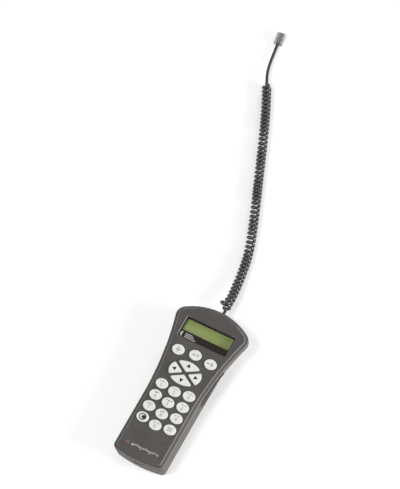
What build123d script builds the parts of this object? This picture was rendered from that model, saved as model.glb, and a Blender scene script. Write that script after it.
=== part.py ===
from build123d import *
import os
from math import cos, pi, radians, sin, sqrt, tan

os.makedirs("parts", exist_ok=True)

# A corded hand controller lying on its back, face up.
# X runs across it, Y along it towards the display, Z out of its face.
# The origin is on the flat back, in the middle of the case.

# ---------------------------------------------------------------- case
case_top = 100.0          # middle of the crown, at the display end
case_bottom = -100.0      # middle of the bow at the cord-free end
case_depth = 30.0         # flat back to flat face
grip_half = 31.8          # half width of the straight lower part
head_corner_x = 47.9      # where the flare and the crown would meet
crown_rise = 17.3         # and how far the crown rises above that corner
flare_start_y = -25.0     # the sides run straight below this
bow_rise = 3.2            # how far the lower end bows out
head_radius = 12.0
foot_radius = 5.5

rear_inset_grip = 0.5     # the back is this much narrower than the rim, low down
rear_inset_head = 13.5    # and this much narrower at the head
rear_inset_ends = 1.0
head_lift = 0.35          # rise of the head's corner for each mm of inset
rear_edge_radius = 4.0
rear_knee_height = 6.0    # the slope of the rear shell starts here

wall = 2.2
front_depth = 9.0         # of the front shell, from the face to the parting line
seam_chamfer = 0.35       # on the front shell, over
seam_depth = 0.5          # the shadow line cut round the rear shell
seam_height = 0.4
bevel_width = 4.4         # sloping border round the flat face
bevel_drop = 2.4
rim_radius = 1.2
border_thickening = 0.8   # the hollow stops this far inside the bevel
groove_y = -70.0          # fine line across the face
groove_width = 0.7
groove_depth = 0.3
border_depth = 4.6        # inside, the thick border starts this far below the face

# ---------------------------------------------------------------- display
window_width = 63.4
window_height = 27.0
window_from_top = 34.3    # from the crown to the middle of the window
window_corner = 1.6
window_recess = 1.2
lens_thickness = 1.5
lens_gap = 0.1
ledge_side = 1.0          # the lens rests on this much at each side
ledge_end = 1.5
ledge_thickness = 1.7
frame_wall = 2.2
frame_corner = 3.0
view_width = 61.0         # visible part of the display
view_height = 16.0
view_from_top = 30.5
gasket_thickness = 0.6
gasket_margin = 1.0
bezel_width = 69.6
bezel_height = 30.0
bezel_from_top = 32.5
bezel_sheet = 0.5
glass_width = 66.0
glass_height = 21.0
glass_thickness = 2.2
guide_height = 15.0
guide_thickness = 2.4
strip_width = 2.0         # rubber contact strips under the glass

# ---------------------------------------------------------------- boards
board_thickness = 1.6
board_head_half = 34.8
board_head_from_top = 16.2
board_head_length = 34.8
board_grip_half = 28.0
board_grip_from_bottom = 16.6
jack_tongue_half = 15.0
jack_tongue_from_top = 5.0
port_tongue_half = 12.0
port_tongue_from_bottom = 4.0
board_corner = 1.0
pin_hole_gap = 0.05       # round a contact's pin, in the board and in the socket

chip_side = 14.0
chip_height = 1.6
chip_y = 18.0
lead_length = 1.2
lead_height = 0.3
lead_pitch = 1.0
lead_count = 12
lead_overlap = 0.2        # a lead starts this far inside its chip's body
memory_y = -14.0
memory_length = 12.0
memory_width = 7.5
crystal_x = 15.0
crystal_length = 11.0
crystal_width = 4.6
crystal_height = 3.6
crystal_edge = 0.5
capacitor_radius = 2.5
capacitor_height = 5.4
capacitor_pitch = 6.25

# ---------------------------------------------------------------- keys
key_proud = 1.4           # crown of a key above the face
key_travel = 1.0
key_gap = 0.3             # between a key and its hole
key_flange = 0.9
flange_thickness = 1.2
flange_gap = 0.2
key_edge = 0.7            # rounding of a key's crown
plunger_radius = 3.2
contact_gap = 0.05        # left under a key that is pressed home
mat_thickness = 1.4
collar_gap = 0.9
collar_wall = 1.1
collar_headroom = 0.25
mat_wide_half = 27.0
mat_narrow_half = 23.4
mat_top_y = 43.4
mat_step_y = 27.0
mat_bottom_y = -61.5
light_width = 1.4
light_length = 2.0
light_height = 0.8
light_gap = 0.3

small_key_half_x = 7.4
small_key_half_y = 6.05
top_key_half_y = 6.2
number_pitch_x = 17.5
number_pitch_y = 14.9
number_row_y = -7.6       # outer keys of the first number row
middle_column_drop = 2.35
top_key_x = 20.8
top_key_y = 37.1
top_middle_y = 39.4
pad_y = 14.9              # middle of the four direction keys
pad_half_x = 19.9
pad_half_y = 14.45
pad_band = 3.3            # bars of the case between the direction keys
pad_band_angle = 30.5
pad_corner = 1.3
pad_plunger_x = 12.6
pad_plunger_y = 8.3

# ---------------------------------------------------------------- grip pads
grip_top_y = 38.0
grip_bottom_y = -7.0
grip_low = 7.5
grip_below_face = 5.0
grip_corner = 4.0
grip_proud = 0.7
grip_pocket = 1.0
grip_fit = 0.1
rib_pitch = 2.5
rib_groove = 1.0
rib_depth = 0.45
rib_margin = 2.0          # plain border of a grip round its ribs

# ---------------------------------------------------------------- fasteners
case_screw_top_x = 20.0
case_screw_bottom_x = 22.0
case_screw_from_end = 12.0
case_boss_radius = 3.2
case_head_radius = 2.6
case_head_height = 2.0
case_shank_radius = 1.3
case_head_depth = 1.2     # head sunk below the back
board_boss_radius = 2.4
board_head_radius = 2.0
board_head_height = 1.3
board_shank_radius = 1.0
board_screw_top_x = 25.5
board_screw_from_head = 2.1
board_screws_low = [(26.5, 3.0), (22.0, -66.0)]
screw_cover = 1.2         # plastic left over a screw's tip
screw_fit = 0.05
hole_clearance = 0.25
head_edge = 0.4
cross_length = 2.6
cross_width = 0.7
cross_depth = 0.9

# ---------------------------------------------------------------- sockets
plug_width = 9.65
plug_height = 6.6
plug_length = 15.0
plug_below_board = 5.4     # from the board's underside to the plug's axis
plug_out = 3.7            # the plug stands this far out of its socket
plug_nose = 0.6
plug_edge = 0.25
plug_fit = 0.15
blade_count = 6
blade_pitch = 1.02
blade_width = 0.32
blade_length = 4.2
blade_depth = 2.4
blade_fit = 0.05
jack_width = 13.2
jack_sunk = 1.3           # behind the crown of the case
jack_length = 14.0
jack_height = 12.3
latch_width = 3.2
latch_thickness = 0.9
latch_length = 14.2
latch_from_nose = 1.2
latch_slope = 6.5
latch_gap = 0.15
latch_slot_side = 0.6
latch_slot_floor = 1.0
mouth_gap = 0.2           # between a socket and its mouth in the shell
mouth_cut = 4.4           # how deep the mouths are cut, from the ends of the case
contact_inset = 0.5
pin_stub = 0.8
blade_back = 0.2
blade_sunk = 0.3
contact_width = 0.5
contact_thickness = 0.4
contact_rise = 0.35
port_width = 7.7
port_height = 3.9
port_wall = 0.35
port_length = 9.2
port_sunk = 1.0
port_edge = 1.2
port_tongue_thickness = 0.8
port_tongue_width = 4.7
port_tongue_length = 7.45
port_block = 1.2

# ---------------------------------------------------------------- label
label_width = 46.0
label_height = 26.0
label_corner = 2.0
label_y = -38.0
label_recess = 0.4
label_thickness = 0.3
label_gap = 0.5

# ---------------------------------------------------------------- cord
wire_diameter = 3.8
coil_diameter = 12.4
tail_route = [
    (0, 102.4, 12.9), (0, 105, 12.9), (-0.24, 107.58, 12.76),
]
coil_route = [
    (-0.24, 107.58, 12.76), (-1.68, 123.06, 11.92), (-3.7, 140, 9.2), (-6.8, 161, 6.8),
    (-12, 188, 6.3), (-23, 218, 6.3), (-34, 246, 6.3), (-46, 275, 6.3),
    (-59, 307, 6.3), (-73, 341, 6.3), (-86, 370, 6.3), (-99, 396, 6.3),
]
lead_route = [
    (-99, 396, 6.3), (-104.5, 407, 6.3), (-108.5, 421, 4.6), (-111, 436, 3.4), (-113, 450, 3.4),
]
run_share = 0.45

# ---------------------------------------------------------------- heights
face = case_depth
parting_height = face - front_depth
grip_high = face - grip_below_face
face_underside = face - wall
lens_top = face - window_recess
lens_bottom = lens_top - lens_thickness
ledge_bottom = lens_bottom - ledge_thickness
bezel_top = ledge_bottom - gasket_thickness
glass_top = bezel_top - bezel_sheet
guide_top = glass_top - glass_thickness
board_top = guide_top - guide_thickness
board_bottom = board_top - board_thickness
flange_top = face_underside - flange_gap
flange_bottom = flange_top - flange_thickness
plunger_end = board_top + key_travel + contact_gap
collar_top = flange_bottom - key_travel - collar_headroom
plug_axis_height = board_bottom - plug_below_board
jack_low = board_bottom - jack_height

# ---------------------------------------------------------------- places along the case
head_corner_y = case_top - crown_rise
window_y = case_top - window_from_top
view_y = case_top - view_from_top
bezel_y = case_top - bezel_from_top
board_head_top = case_top - board_head_from_top
board_head_bottom = board_head_top - board_head_length
board_grip_bottom = case_bottom + board_grip_from_bottom
jack_tongue_top = case_top - jack_tongue_from_top
port_tongue_bottom = case_bottom + port_tongue_from_bottom
jack_front_y = case_top - jack_sunk
plug_rear_y = jack_front_y + plug_out
port_front_y = case_bottom + port_sunk


# Where two circles cross, on the side of larger Y.
def crossing(centre, radius, other_centre, other_radius):
    apart = other_centre - centre
    along = (radius ** 2 - other_radius ** 2 + apart.length ** 2) / (2 * apart.length)
    across = sqrt(radius ** 2 - along ** 2)
    way = apart.normalized()
    up = Vector(-way.Y, way.X)
    if up.Y < 0:
        up = -up
    return centre + way * along + up * across


# Radius of an arc that spans a chord of the given half length with this rise.
def arc_radius(half_chord, rise):
    return (half_chord ** 2 + rise ** 2) / (2 * rise)


# Outline of the case, grown or shrunk evenly all round. The insets narrow it
# for the back of the rear shell.
def case_outline(grow=0.0, inset_grip=0.0, inset_head=0.0, inset_ends=0.0):
    side = grip_half - inset_grip
    corner = Vector(head_corner_x - inset_head, head_corner_y + head_lift * inset_head)
    top = case_top - inset_ends
    bottom = case_bottom + inset_ends
    flare_radius = arc_radius(corner.Y - flare_start_y, corner.X - side)
    crown_radius = arc_radius(corner.X, top - corner.Y)
    bow_radius = arc_radius(side, bow_rise)
    flare_centre = Vector(side + flare_radius, flare_start_y)
    crown_centre = Vector(0, top - crown_radius)
    side_x = side + grow
    foot_y = bottom + bow_radius - sqrt((bow_radius + grow) ** 2 - side_x ** 2)
    shoulder = crossing(flare_centre, flare_radius - grow, crown_centre, crown_radius + grow)
    with BuildSketch(Plane.XY) as outline:
        with BuildLine():
            ThreePointArc((-side_x, foot_y), (0, bottom - grow), (side_x, foot_y))
            Line((side_x, foot_y), (side_x, flare_start_y))
            TangentArc((side_x, flare_start_y), (shoulder.X, shoulder.Y), tangent=(0, 1))
            ThreePointArc((shoulder.X, shoulder.Y), (0, top + grow), (-shoulder.X, shoulder.Y))
            TangentArc((-side_x, flare_start_y), (-shoulder.X, shoulder.Y), tangent=(0, 1))
            Line((-side_x, flare_start_y), (-side_x, foot_y))
        make_face()
        fillet(outline.vertices().group_by(Axis.Y)[-1], head_radius + grow)
        fillet(outline.vertices().group_by(Axis.Y)[0], foot_radius + grow)
    return outline.sketch


# Solid of the case outline between two heights, grown or shrunk all round.
def rim_block(low, high, grow=0.0):
    with BuildPart() as block:
        with BuildSketch(Plane.XY.offset(low)):
            add(case_outline(grow))
        extrude(amount=high - low)
    return block.part


# Solid of the rear shell's sloping outside, grown or shrunk all round.
def rear_block(low, grow=0.0):
    with BuildPart() as block:
        with BuildSketch(Plane.XY.offset(parting_height)):
            add(case_outline(grow))
        with BuildSketch(Plane.XY.offset(rear_knee_height)):
            add(case_outline(grow, rear_inset_grip, rear_inset_head, rear_inset_ends))
        loft(ruled=True)
        with BuildSketch(Plane.XY.offset(low)):
            add(case_outline(grow, rear_inset_grip, rear_inset_head, rear_inset_ends))
        extrude(amount=rear_knee_height - low)
    return block.part


# Both shells together, as one solid envelope up to the height where grips end.
def case_block(grow):
    with BuildPart() as block:
        add(rim_block(parting_height, grip_high, grow))
        add(rear_block(0, grow))
    return block.part


# ---------------------------------------------------------------- key layout
number_names = ["1", "2", "3", "4", "5", "6", "7", "8", "9", "ring", "0", "info"]
round_keys = {
    "key_top_left": (-top_key_x, top_key_y, top_key_half_y),
    "key_top_middle": (0, top_middle_y, top_key_half_y),
    "key_top_right": (top_key_x, top_key_y, top_key_half_y),
}
for place, label in enumerate(number_names):
    row, column = divmod(place, 3)
    key_y = number_row_y - row * number_pitch_y
    if column == 1:
        key_y -= middle_column_drop
    round_keys["key_" + label] = ((column - 1) * number_pitch_x, key_y, small_key_half_y)

pad_keys = {
    "key_up": (0, 1),
    "key_down": (0, -1),
    "key_left": (-1, 0),
    "key_right": (1, 0),
}

plunger_places = {name: (x, y) for name, (x, y, half_y) in round_keys.items()}
for name, (side_x, side_y) in pad_keys.items():
    plunger_places[name] = (side_x * pad_plunger_x, pad_y + side_y * pad_plunger_y)


# A round key's outline as an upright prism.
def round_prism(name, grow, low, high):
    x, y, half_y = round_keys[name]
    with BuildPart() as prism:
        with BuildSketch(Plane.XY.offset(low)):
            with Locations((x, y)):
                Ellipse(small_key_half_x + grow, half_y + grow)
        extrude(amount=high - low)
    return prism.part


# A direction key is a quarter of an oval, cut off by the two crossing bars.
def pad_prism(name, grow, low, high):
    side_x, side_y = pad_keys[name]
    toward = Axis((0, 0, 0), (side_x, side_y, 0))
    with BuildPart() as prism:
        with BuildSketch(Plane.XY.offset(low)):
            with Locations((0, pad_y)):
                Ellipse(pad_half_x + grow, pad_half_y + grow)
                for angle in (pad_band_angle, -pad_band_angle):
                    Rectangle(
                        3 * pad_half_x, pad_band - 2 * grow, rotation=angle, mode=Mode.SUBTRACT
                    )
        extrude(amount=high - low)
        wedge = prism.solids().sort_by(toward)[-1]
        add(wedge, mode=Mode.REPLACE)
        fillet(prism.edges().filter_by(Axis.Z), pad_corner + grow / 2)
    return prism.part


def key_prism(name, grow, low, high):
    if name in round_keys:
        return round_prism(name, grow, low, high)
    return pad_prism(name, grow, low, high)


key_names = list(round_keys) + list(pad_keys)

# ---------------------------------------------------------------- grips
# Each grip follows the side of both shells, from the slope up to the rim,
# and both shells are cut back under it.
grip_middle = ((grip_top_y + grip_bottom_y) / 2, (grip_low + grip_high) / 2)
grip_length = grip_top_y - grip_bottom_y
grip_tall = grip_high - grip_low
rib_count = int((grip_length - 2 * rib_margin) / rib_pitch)
grip_bed = case_block(-grip_pocket)
grip_skin = case_block(grip_proud)
groove_floor = case_block(grip_proud - rib_depth)


def grip_window(side, gap):
    with BuildPart() as window:
        with BuildSketch(Plane.YZ):
            with Locations(grip_middle):
                RectangleRounded(grip_length - 2 * gap, grip_tall - 2 * gap, grip_corner - gap)
        extrude(amount=side * case_top)
    return window.part


def rib_grooves(side):
    with BuildPart() as grooves:
        with BuildSketch(Plane.YZ):
            with Locations(grip_middle):
                with GridLocations(rib_pitch, 1, rib_count, 1):
                    Rectangle(rib_groove, grip_tall - 2 * rib_margin)
        extrude(amount=side * case_top)
        add(groove_floor, mode=Mode.SUBTRACT)
    return grooves.part


def make_grip(side):
    window = grip_window(side, grip_fit)
    grooves = rib_grooves(side)
    with BuildPart() as grip:
        add(grip_skin)
        add(grip_bed, mode=Mode.SUBTRACT)
        add(window, mode=Mode.INTERSECT)
        add(grooves, mode=Mode.SUBTRACT)
    return grip


left_grip = make_grip(-1)
right_grip = make_grip(1)

left_window = grip_window(-1, 0)
right_window = grip_window(1, 0)
with BuildPart() as grip_pockets:
    add(left_window)
    add(right_window)
    add(grip_bed, mode=Mode.SUBTRACT)

# ---------------------------------------------------------------- front shell
rim_outer = rim_block(parting_height, face)
rim_hollow = rim_block(parting_height, face - border_depth, -wall)
face_hollow = rim_block(parting_height, face_underside, -(bevel_width + border_thickening))
key_holes = [key_prism(name, key_gap, ledge_bottom, face + 1) for name in key_names]

case_screws_right = [
    (case_screw_top_x, case_top - case_screw_from_end),
    (case_screw_bottom_x, case_bottom + case_screw_from_end),
]
board_screws_right = [(board_screw_top_x, board_head_bottom - board_screw_from_head)]
board_screws_right += board_screws_low
case_screw_places = [(side * x, y) for x, y in case_screws_right for side in (1, -1)]
board_screw_places = [(side * x, y) for x, y in board_screws_right for side in (1, -1)]
case_screw_end = face_underside - screw_cover
board_screw_end = face_underside - screw_cover

with BuildPart() as front_shell:
    add(rim_outer)
    top_face = front_shell.faces().sort_by(Axis.Z)[-1]
    chamfer(top_face.edges(), length=bevel_width, length2=bevel_drop, reference=top_face)
    rim_height = face - bevel_drop
    rim_edge = front_shell.edges().filter_by_position(Axis.Z, rim_height - 0.01, rim_height + 0.01)
    fillet(rim_edge, rim_radius)
    chamfer(front_shell.edges().group_by(Axis.Z)[0], seam_chamfer)
    add(rim_hollow, mode=Mode.SUBTRACT)
    add(face_hollow, mode=Mode.SUBTRACT)
    # frame that the lens drops into, and the ledge it rests on
    with BuildSketch(Plane.XY.offset(ledge_bottom)):
        with Locations((0, window_y)):
            RectangleRounded(
                window_width + 2 * frame_wall, window_height + 2 * frame_wall, frame_corner
            )
    extrude(amount=face_underside - ledge_bottom)
    with BuildSketch(Plane.XY.offset(lens_bottom)):
        with Locations((0, window_y)):
            RectangleRounded(window_width, window_height, window_corner)
    extrude(amount=case_depth, mode=Mode.SUBTRACT)
    with BuildSketch(Plane.XY.offset(ledge_bottom)):
        with Locations((0, window_y)):
            Rectangle(window_width - 2 * ledge_side, window_height - 2 * ledge_end)
    extrude(amount=case_depth, mode=Mode.SUBTRACT)
    # screw bosses, down to the rear shell's bosses and to the board
    with BuildSketch(Plane.XY.offset(parting_height)):
        with Locations(*case_screw_places):
            Circle(case_boss_radius)
    extrude(amount=face_underside - parting_height)
    with BuildSketch(Plane.XY.offset(board_top)):
        with Locations(*board_screw_places):
            Circle(board_boss_radius)
    extrude(amount=face_underside - board_top)
    with BuildSketch(Plane.XY.offset(parting_height)):
        with Locations(*case_screw_places):
            Circle(case_shank_radius + screw_fit)
    extrude(amount=case_screw_end + screw_fit - parting_height, mode=Mode.SUBTRACT)
    with BuildSketch(Plane.XY.offset(board_top)):
        with Locations(*board_screw_places):
            Circle(board_shank_radius + screw_fit)
    extrude(amount=board_screw_end + screw_fit - board_top, mode=Mode.SUBTRACT)
    add(key_holes, mode=Mode.SUBTRACT)
    add(grip_pockets.part, mode=Mode.SUBTRACT)
    # shallow line across the face below the keys
    with BuildSketch(Plane.XY.offset(face - groove_depth)):
        with Locations((0, groove_y)):
            Rectangle(2 * (grip_half - bevel_width), groove_width)
    extrude(amount=case_depth, mode=Mode.SUBTRACT)

# ---------------------------------------------------------------- rear shell
rear_outer = rear_block(0)
rear_hollow = rear_block(wall, -wall)
seam_outside = rim_block(parting_height - seam_height, parting_height, seam_depth)
seam_inside = rim_block(parting_height - seam_height, parting_height, -seam_depth)

with BuildPart() as seam_ring:
    add(seam_outside)
    add(seam_inside, mode=Mode.SUBTRACT)

with BuildPart() as rear_shell:
    add(rear_outer)
    fillet(rear_shell.edges().group_by(Axis.Z)[0], rear_edge_radius)
    add(seam_ring.part, mode=Mode.SUBTRACT)
    add(rear_hollow, mode=Mode.SUBTRACT)
    with BuildSketch(Plane.XY.offset(wall)):
        with Locations(*case_screw_places):
            Circle(case_boss_radius)
    extrude(amount=parting_height - wall)
    # through holes and head pockets of the case screws
    with BuildSketch(Plane.XY):
        with Locations(*case_screw_places):
            Circle(case_shank_radius + hole_clearance)
    extrude(amount=parting_height, mode=Mode.SUBTRACT)
    with BuildSketch(Plane.XY):
        with Locations(*case_screw_places):
            Circle(case_head_radius + hole_clearance)
    extrude(amount=case_head_depth + case_head_height, mode=Mode.SUBTRACT)
    # mouth of the cord socket, at the display end
    with BuildSketch(Plane.XY.offset(jack_low - mouth_gap)):
        with Locations((0, case_top)):
            Rectangle(jack_width + 2 * mouth_gap, 2 * mouth_cut)
    extrude(amount=board_bottom - jack_low + 2 * mouth_gap, mode=Mode.SUBTRACT)
    # mouth of the data port, at the other end
    with BuildSketch(Plane.XY.offset(board_bottom - port_height - mouth_gap)):
        with Locations((0, case_bottom)):
            Rectangle(port_width + 2 * mouth_gap, 2 * mouth_cut)
    extrude(amount=port_height + 2 * mouth_gap, mode=Mode.SUBTRACT)
    add(grip_pockets.part, mode=Mode.SUBTRACT)
    # shallow bed for the label
    with BuildSketch(Plane.XY):
        with Locations((0, label_y)):
            RectangleRounded(
                label_width + 2 * label_gap, label_height + 2 * label_gap, label_corner + label_gap
            )
    extrude(amount=label_recess, mode=Mode.SUBTRACT)

with BuildPart() as rear_label:
    with BuildSketch(Plane.XY.offset(label_recess - label_thickness)):
        with Locations((0, label_y)):
            RectangleRounded(label_width, label_height, label_corner)
    extrude(amount=label_thickness)

# ---------------------------------------------------------------- display
with BuildPart() as display_lens:
    with BuildSketch(Plane.XY.offset(lens_bottom)):
        with Locations((0, window_y)):
            RectangleRounded(
                window_width - 2 * lens_gap, window_height - 2 * lens_gap, window_corner - lens_gap
            )
    extrude(amount=lens_thickness)

with BuildPart() as lens_gasket:
    with BuildSketch(Plane.XY.offset(bezel_top)):
        with Locations((0, bezel_y)):
            Rectangle(bezel_width, bezel_height - 2)
        with Locations((0, view_y)):
            Rectangle(view_width + gasket_margin, view_height + gasket_margin, mode=Mode.SUBTRACT)
    extrude(amount=gasket_thickness)

with BuildPart() as display_bezel:
    with BuildSketch(Plane.XY.offset(board_top)):
        with Locations((0, bezel_y)):
            Rectangle(bezel_width, bezel_height)
    extrude(amount=bezel_top - board_top)
    with BuildSketch(Plane.XY.offset(board_top)):
        with Locations((0, bezel_y)):
            Rectangle(bezel_width - 2 * bezel_sheet, bezel_height - 2 * bezel_sheet)
    extrude(amount=glass_top - board_top, mode=Mode.SUBTRACT)
    with BuildSketch(Plane.XY.offset(board_top)):
        with Locations((0, view_y)):
            Rectangle(view_width, view_height)
    extrude(amount=case_depth, mode=Mode.SUBTRACT)

with BuildPart() as display_glass:
    with BuildSketch(Plane.XY.offset(guide_top)):
        with Locations((0, view_y)):
            Rectangle(glass_width, glass_height)
    extrude(amount=glass_thickness)

with BuildPart() as display_light_guide:
    with BuildSketch(Plane.XY.offset(board_top)):
        with Locations((0, view_y)):
            Rectangle(glass_width, guide_height)
    extrude(amount=guide_thickness)

strip_offset = glass_height - strip_width
with BuildPart() as display_contact_strips:
    with BuildSketch(Plane.XY.offset(board_top)):
        with Locations((0, view_y)):
            with GridLocations(1, strip_offset, 1, 2):
                Rectangle(glass_width - 4, strip_width)
    extrude(amount=guide_thickness)

# ---------------------------------------------------------------- board
socket_back_y = plug_rear_y - plug_length - plug_nose
contact_pin_y = socket_back_y + contact_inset
pin_hole = contact_width + 2 * pin_hole_gap
blade_places = [(blade - (blade_count - 1) / 2) * blade_pitch for blade in range(blade_count)]

with BuildPart() as main_board:
    with BuildSketch(Plane.XY.offset(board_bottom)) as board_outline:
        with Locations((0, (board_head_top + board_head_bottom) / 2)):
            Rectangle(2 * board_head_half, board_head_top - board_head_bottom)
        with Locations((0, (board_head_bottom + board_grip_bottom) / 2)):
            Rectangle(2 * board_grip_half, board_head_bottom - board_grip_bottom)
        with Locations((0, jack_tongue_top / 2)):
            Rectangle(2 * jack_tongue_half, jack_tongue_top)
        with Locations((0, port_tongue_bottom / 2)):
            Rectangle(2 * port_tongue_half, -port_tongue_bottom)
        fillet(board_outline.vertices(), board_corner)
        with Locations(*board_screw_places):
            Circle(board_shank_radius + hole_clearance, mode=Mode.SUBTRACT)
        with Locations(*[(x, contact_pin_y) for x in blade_places]):
            Rectangle(pin_hole, pin_hole, mode=Mode.SUBTRACT)
    extrude(amount=board_thickness)

with BuildPart() as controller_chip:
    with BuildSketch(Plane.XY.offset(board_bottom - chip_height)):
        with Locations((0, chip_y)):
            Rectangle(chip_side, chip_side)
    extrude(amount=chip_height)
    # rows of leads round the body
    with BuildSketch(Plane.XY.offset(board_bottom - lead_height)):
        with Locations((0, chip_y)):
            with GridLocations(chip_side + lead_length, lead_pitch, 2, lead_count):
                Rectangle(lead_length + lead_overlap, lead_pitch / 2)
            with GridLocations(lead_pitch, chip_side + lead_length, lead_count, 2):
                Rectangle(lead_pitch / 2, lead_length + lead_overlap)
    extrude(amount=lead_height)

with BuildPart() as memory_chip:
    with BuildSketch(Plane.XY.offset(board_bottom - chip_height)):
        with Locations((0, memory_y)):
            Rectangle(memory_length, memory_width)
    extrude(amount=chip_height)

with BuildPart() as clock_crystal:
    with BuildSketch(Plane.XY.offset(board_bottom - crystal_height)):
        with Locations((crystal_x, chip_y)):
            SlotOverall(crystal_length, crystal_width, rotation=90)
    extrude(amount=crystal_height)
    fillet(clock_crystal.edges().group_by(Axis.Z)[0], crystal_edge)

with BuildPart() as capacitors:
    with BuildSketch(Plane.XY.offset(board_bottom - capacitor_height)):
        with Locations((-crystal_x, chip_y)):
            with GridLocations(1, capacitor_pitch, 1, 3):
                Circle(capacitor_radius)
    extrude(amount=capacitor_height)

light_places = [(side * number_pitch_x / 2, number_row_y - row * number_pitch_y)
                for row in range(4) for side in (-1, 1)]
light_places += [(side * top_key_x / 2, top_key_y) for side in (-1, 1)]
light_places += [(0, pad_y)]
with BuildPart() as key_lights:
    with BuildSketch(Plane.XY.offset(board_top)):
        with Locations(*light_places):
            Rectangle(light_width, light_length)
    extrude(amount=light_height)

# ---------------------------------------------------------------- keypad
with BuildPart() as keypad_mat:
    with BuildSketch(Plane.XY.offset(board_top)):
        with Locations((0, (mat_top_y + mat_step_y) / 2)):
            Rectangle(2 * mat_wide_half, mat_top_y - mat_step_y)
        with Locations((0, (mat_step_y + mat_bottom_y) / 2)):
            Rectangle(2 * mat_narrow_half, mat_step_y - mat_bottom_y)
    extrude(amount=mat_thickness)
    with BuildSketch(Plane.XY.offset(board_top)):
        with Locations(*plunger_places.values()):
            Circle(plunger_radius + collar_gap + collar_wall)
    extrude(amount=collar_top - board_top)
    with BuildSketch(Plane.XY.offset(board_top)):
        with Locations(*plunger_places.values()):
            Circle(plunger_radius + collar_gap)
        with Locations(*light_places):
            Rectangle(light_width + 2 * light_gap, light_length + 2 * light_gap)
    extrude(amount=case_depth, mode=Mode.SUBTRACT)


def make_key(name):
    cap = key_prism(name, 0, flange_bottom, face + key_proud)
    flange = key_prism(name, key_flange, flange_bottom, flange_top)
    with BuildPart() as key:
        add(cap)
        fillet(key.edges().group_by(Axis.Z)[-1], key_edge)
        add(flange)
        with BuildSketch(Plane.XY.offset(plunger_end)):
            with Locations(plunger_places[name]):
                Circle(plunger_radius)
        extrude(amount=flange_bottom - plunger_end)
    return key


keys = {name: make_key(name) for name in key_names}

# ---------------------------------------------------------------- cord socket
plug_low = plug_axis_height - plug_height / 2
plug_high = plug_axis_height + plug_height / 2
socket_roof = plug_high + contact_rise + contact_thickness

with BuildPart() as cord_jack:
    with BuildSketch(Plane.XY.offset(jack_low)):
        with Locations((0, jack_front_y - jack_length / 2)):
            Rectangle(jack_width, jack_length)
    extrude(amount=board_bottom - jack_low)
    cavity_length = jack_front_y - socket_back_y
    cavity_middle_y = jack_front_y - cavity_length / 2
    with BuildSketch(Plane.XY.offset(plug_low - plug_fit)):
        with Locations((0, cavity_middle_y)):
            Rectangle(plug_width + 2 * plug_fit, cavity_length)
    extrude(amount=socket_roof - plug_low + plug_fit, mode=Mode.SUBTRACT)
    # slot for the latch of the plug
    with BuildSketch(Plane.XY.offset(jack_low + latch_slot_floor)):
        with Locations((0, cavity_middle_y)):
            Rectangle(latch_width + 2 * latch_slot_side, cavity_length)
    extrude(amount=plug_low - jack_low, mode=Mode.SUBTRACT)
    with BuildSketch(Plane.XY.offset(plug_axis_height)):
        with Locations(*[(x, contact_pin_y) for x in blade_places]):
            Rectangle(pin_hole, pin_hole)
    extrude(amount=case_depth, mode=Mode.SUBTRACT)

with BuildPart() as jack_contacts:
    contact_end_y = jack_front_y - contact_inset
    with BuildSketch(Plane.XY.offset(socket_roof - contact_thickness)):
        with Locations(*[(x, (contact_pin_y + contact_end_y) / 2) for x in blade_places]):
            Rectangle(contact_width, contact_end_y - contact_pin_y + contact_width)
    extrude(amount=contact_thickness)
    with BuildSketch(Plane.XY.offset(socket_roof)):
        with Locations(*[(x, contact_pin_y) for x in blade_places]):
            Rectangle(contact_width, contact_width)
    extrude(amount=board_top + pin_stub - socket_roof)

# ---------------------------------------------------------------- data port
port_middle_y = port_front_y + port_length / 2
port_middle_z = board_bottom - port_height / 2
with BuildPart() as data_port_shell:
    with BuildSketch(Plane.XY.offset(board_bottom - port_height)):
        with Locations((0, port_middle_y)):
            Rectangle(port_width, port_length)
    extrude(amount=port_height)
    fillet(data_port_shell.edges().filter_by(Axis.Y).group_by(Axis.Z)[0], port_edge)
    opening = data_port_shell.faces().sort_by(Axis.Y)[0]
    offset(amount=-port_wall, openings=opening)

with BuildPart() as data_port_tongue:
    with BuildSketch(Plane.XY.offset(port_middle_z - port_tongue_thickness / 2)):
        with Locations((0, port_middle_y + port_wall / 2)):
            Rectangle(port_tongue_width, port_tongue_length)
    extrude(amount=port_tongue_thickness)
    with BuildSketch(Plane.XY.offset(board_bottom - port_height + port_wall)):
        with Locations((0, port_front_y + port_length - port_wall - port_block / 2)):
            Rectangle(port_tongue_width, port_block)
    extrude(amount=port_height - 2 * port_wall)

# ---------------------------------------------------------------- screws
with BuildPart() as case_screws:
    with BuildSketch(Plane.XY.offset(case_head_depth)):
        with Locations(*case_screw_places):
            Circle(case_head_radius)
    extrude(amount=case_head_height)
    fillet(case_screws.edges().group_by(Axis.Z)[0], head_edge)
    with BuildSketch(Plane.XY.offset(case_head_depth)):
        with Locations(*case_screw_places):
            Circle(case_shank_radius)
    extrude(amount=case_screw_end - case_head_depth)
    with BuildSketch(Plane.XY.offset(case_head_depth)):
        with Locations(*case_screw_places):
            Rectangle(cross_length, cross_width)
            Rectangle(cross_width, cross_length)
    extrude(amount=cross_depth, mode=Mode.SUBTRACT)

with BuildPart() as board_screws:
    with BuildSketch(Plane.XY.offset(board_bottom - board_head_height)):
        with Locations(*board_screw_places):
            Circle(board_head_radius)
    extrude(amount=board_head_height)
    fillet(board_screws.edges().group_by(Axis.Z)[0], head_edge)
    with BuildSketch(Plane.XY.offset(board_bottom)):
        with Locations(*board_screw_places):
            Circle(board_shank_radius)
    extrude(amount=board_screw_end - board_bottom)

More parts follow.
